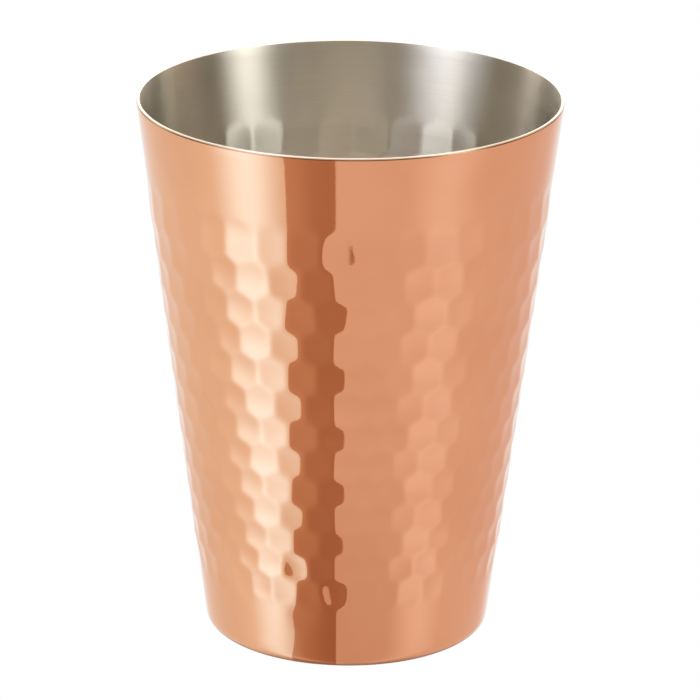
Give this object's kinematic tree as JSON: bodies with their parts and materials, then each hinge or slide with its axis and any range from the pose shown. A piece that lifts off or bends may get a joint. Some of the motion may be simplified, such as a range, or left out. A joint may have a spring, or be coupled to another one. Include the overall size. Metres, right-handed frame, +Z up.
{
  "type": "hammered copper tumbler",
  "caption": "Tapered drinking tumbler of hammered copper with plain bands at the rim and foot, open at the top, with a bright tin lining turned over the rim.",
  "frame": {"origin": "on the cup's axis, in the plane the foot stands on", "axes": "+Z up along the cup's axis to the open rim, -Y towards the viewer of the picture"},
  "size_m": [0.0798, 0.08, 0.1042],
  "materials": {
    "copper": "polished and hammered copper",
    "tin": "satin tin, lightly brushed round the cup"
  },
  "bodies": {
    "root": {"copper_shell": "copper", "tin_lining": "tin"}
  },
  "joints": []
}
